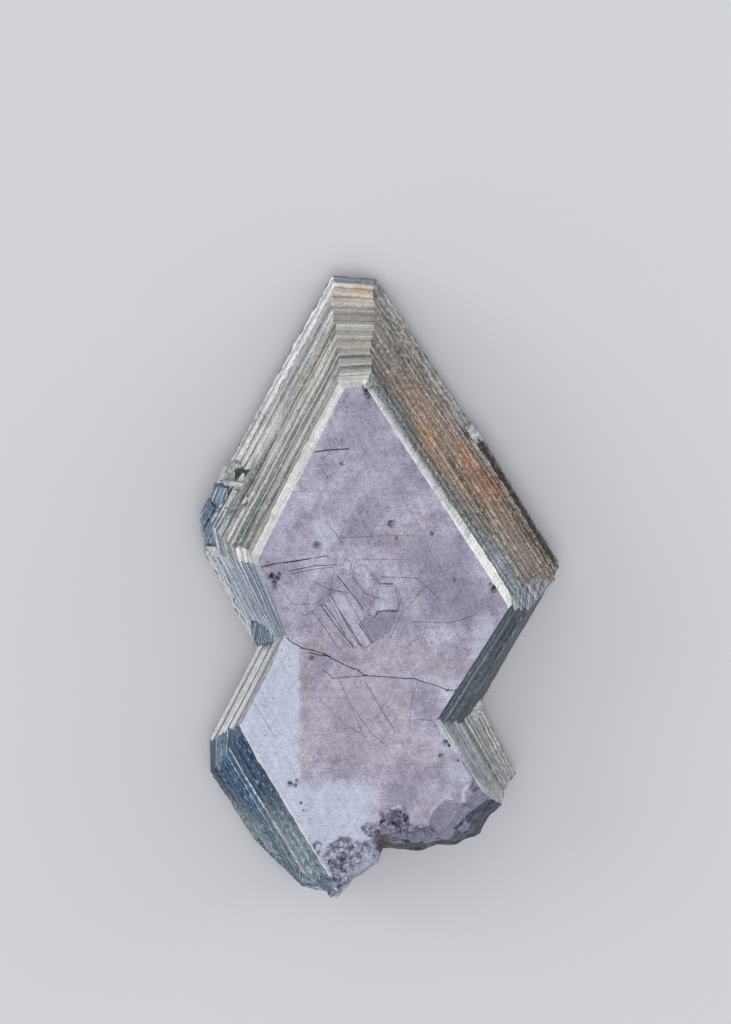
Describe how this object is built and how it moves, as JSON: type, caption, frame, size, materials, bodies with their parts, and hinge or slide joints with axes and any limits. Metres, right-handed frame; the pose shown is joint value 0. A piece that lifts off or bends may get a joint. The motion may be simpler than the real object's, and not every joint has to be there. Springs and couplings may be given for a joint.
{
  "type": "geocronite crystal specimen",
  "caption": "Mineral specimen: two rhombic tabular lead-grey crystals grown together, with stepped striated sides, a broad flat front face, a seam crack and a broken lower end",
  "frame": {"origin": "centre of the specimen's box on X and Y, at the height of its flat back, which rests on Z = 0", "axes": "the blunt apex of the upper crystal points to +Y and the broken lower end to -Y; the broad front face looks up to +Z; +X is the right side of the picture"},
  "size_m": [0.029, 0.0508, 0.0106],
  "materials": {
    "crystal": "satin"
  },
  "bodies": {
    "root": {"geocronite_specimen": "crystal"}
  },
  "joints": []
}
